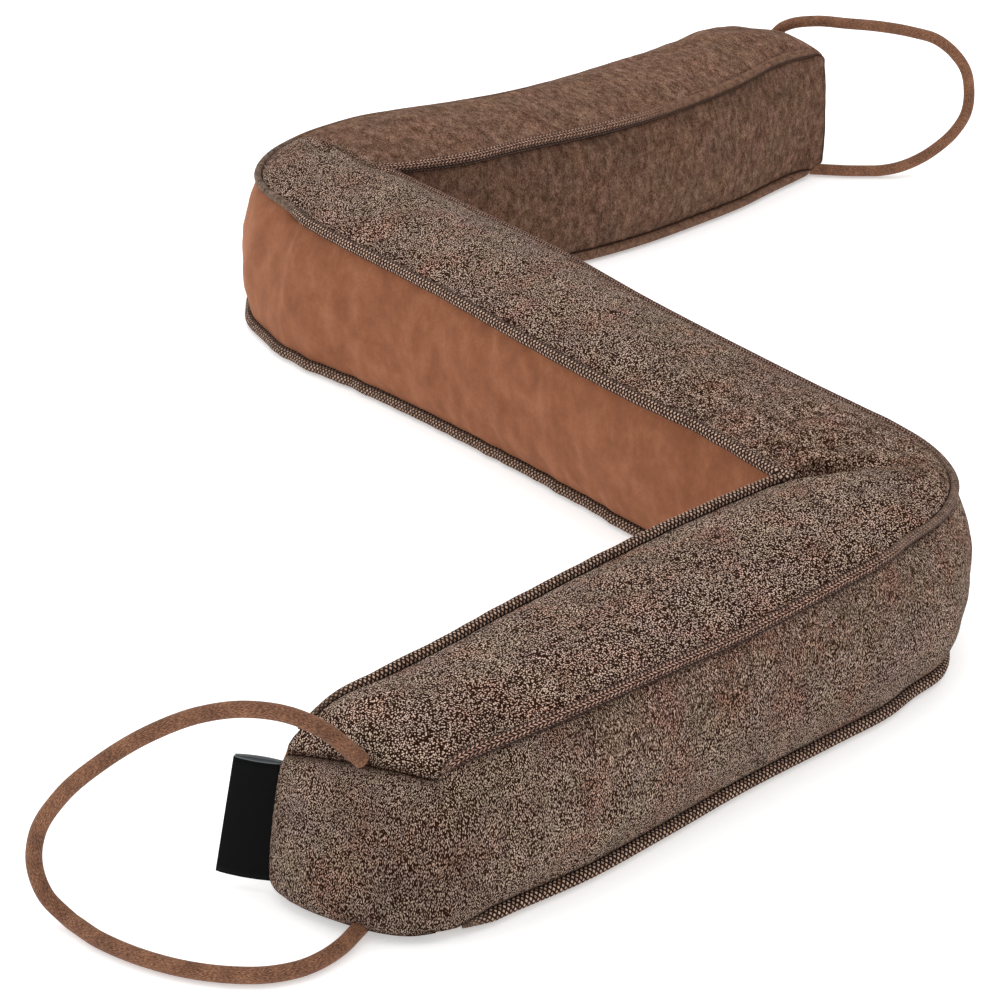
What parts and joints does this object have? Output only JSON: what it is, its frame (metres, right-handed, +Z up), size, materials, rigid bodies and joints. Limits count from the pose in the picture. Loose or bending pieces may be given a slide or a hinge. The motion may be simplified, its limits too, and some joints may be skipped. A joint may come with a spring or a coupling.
{
  "type": "draught excluder",
  "caption": "Box-section stuffed bolster laid in a zigzag, for stopping draughts under a door, with braid piping, a contrasting side and cord loops at its ends.",
  "frame": {"origin": "middle of the bolster's plan, without its cord loops, at the underside that rests on the floor", "axes": "+Z up; +Y from the near end to the far end across the zigzag; +X to the side that the far cord loop points to"},
  "size_m": [0.4152, 0.7934, 0.0857],
  "materials": {
    "melange_chenille": "brown flecked chenille, matte",
    "rust_microsuede": "rust-brown short nap, matte",
    "piping_braid": "dark brown braid with beige flecks, matte",
    "brown_cord": "brown suede-like cord, matte",
    "black_tab": "plain black woven tape, slightly smooth"
  },
  "bodies": {
    "root": {"filled_body": "melange_chenille", "top_panel": "melange_chenille", "front_panel": "melange_chenille", "contrast_panel": "rust_microsuede", "far_end_panel": "melange_chenille", "piping_top_left": "piping_braid", "piping_top_right": "piping_braid", "piping_foot_right": "piping_braid", "piping_foot_left": "piping_braid", "near_loop": "brown_cord", "far_loop": "brown_cord", "tab": "black_tab"}
  },
  "joints": []
}
